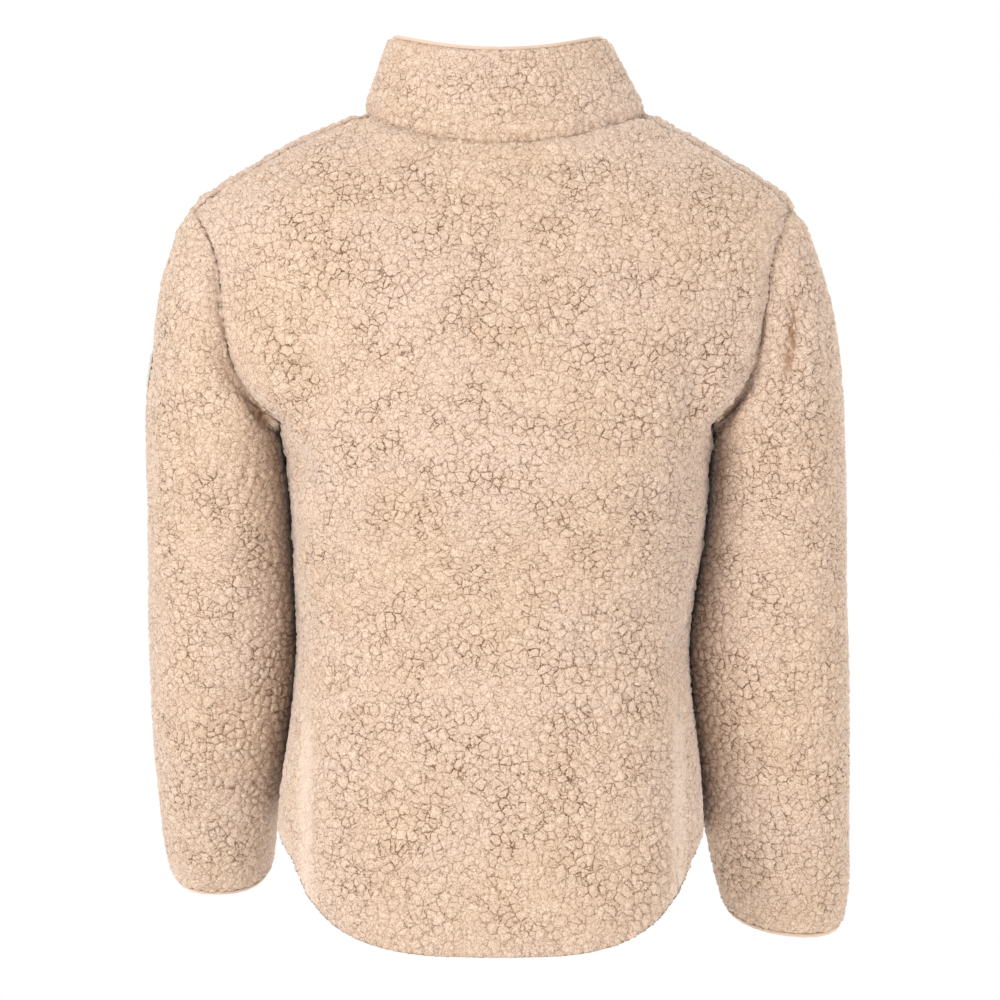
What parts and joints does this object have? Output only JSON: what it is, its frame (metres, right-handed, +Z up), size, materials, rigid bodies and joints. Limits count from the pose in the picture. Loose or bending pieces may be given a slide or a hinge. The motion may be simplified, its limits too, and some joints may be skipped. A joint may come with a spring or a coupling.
{
  "type": "sherpa zip jacket",
  "caption": "Hip-length sheep-look fleece jacket with stand collar, set-in sleeves, curved hem and full front zip, hollow and filled out as worn.",
  "frame": {"origin": "between the shoulders at the height of the neck points, where the wearer's neck and shoulders carry the jacket", "axes": "+Z up, +Y out of the back, +X to the wearer's left"},
  "size_m": [0.5986, 0.2861, 0.7619],
  "materials": {
    "fleece": "deep curled pile in small packed clumps, matt oatmeal beige",
    "smooth_edge": "smooth narrow woven edge, pale tan",
    "zip_tape": "tight woven tape, beige",
    "slider_metal": "satin metal with a warm cast",
    "patch": "plain off-white woven patch, bare"
  },
  "bodies": {
    "jacket": {"back": "fleece", "front_left": "fleece", "front_right": "fleece", "sleeve_left": "fleece", "sleeve_right": "fleece", "collar": "fleece", "collar_edge": "smooth_edge", "cuff_edge_left": "smooth_edge", "cuff_edge_right": "smooth_edge", "zip_tape_left": "zip_tape", "zip_tape_right": "zip_tape", "zip_slider": "slider_metal", "sleeve_patch": "patch"},
    "pull_tab": {"zip_pull": "slider_metal"}
  },
  "joints": [
    {"name": "pull_swing", "type": "hinge", "parent": "jacket", "child": "pull_tab", "pos_m": [0, -0.08163, -0.0235], "axis": [-1, 0, 0], "range_deg": [0, 165]}
  ]
}
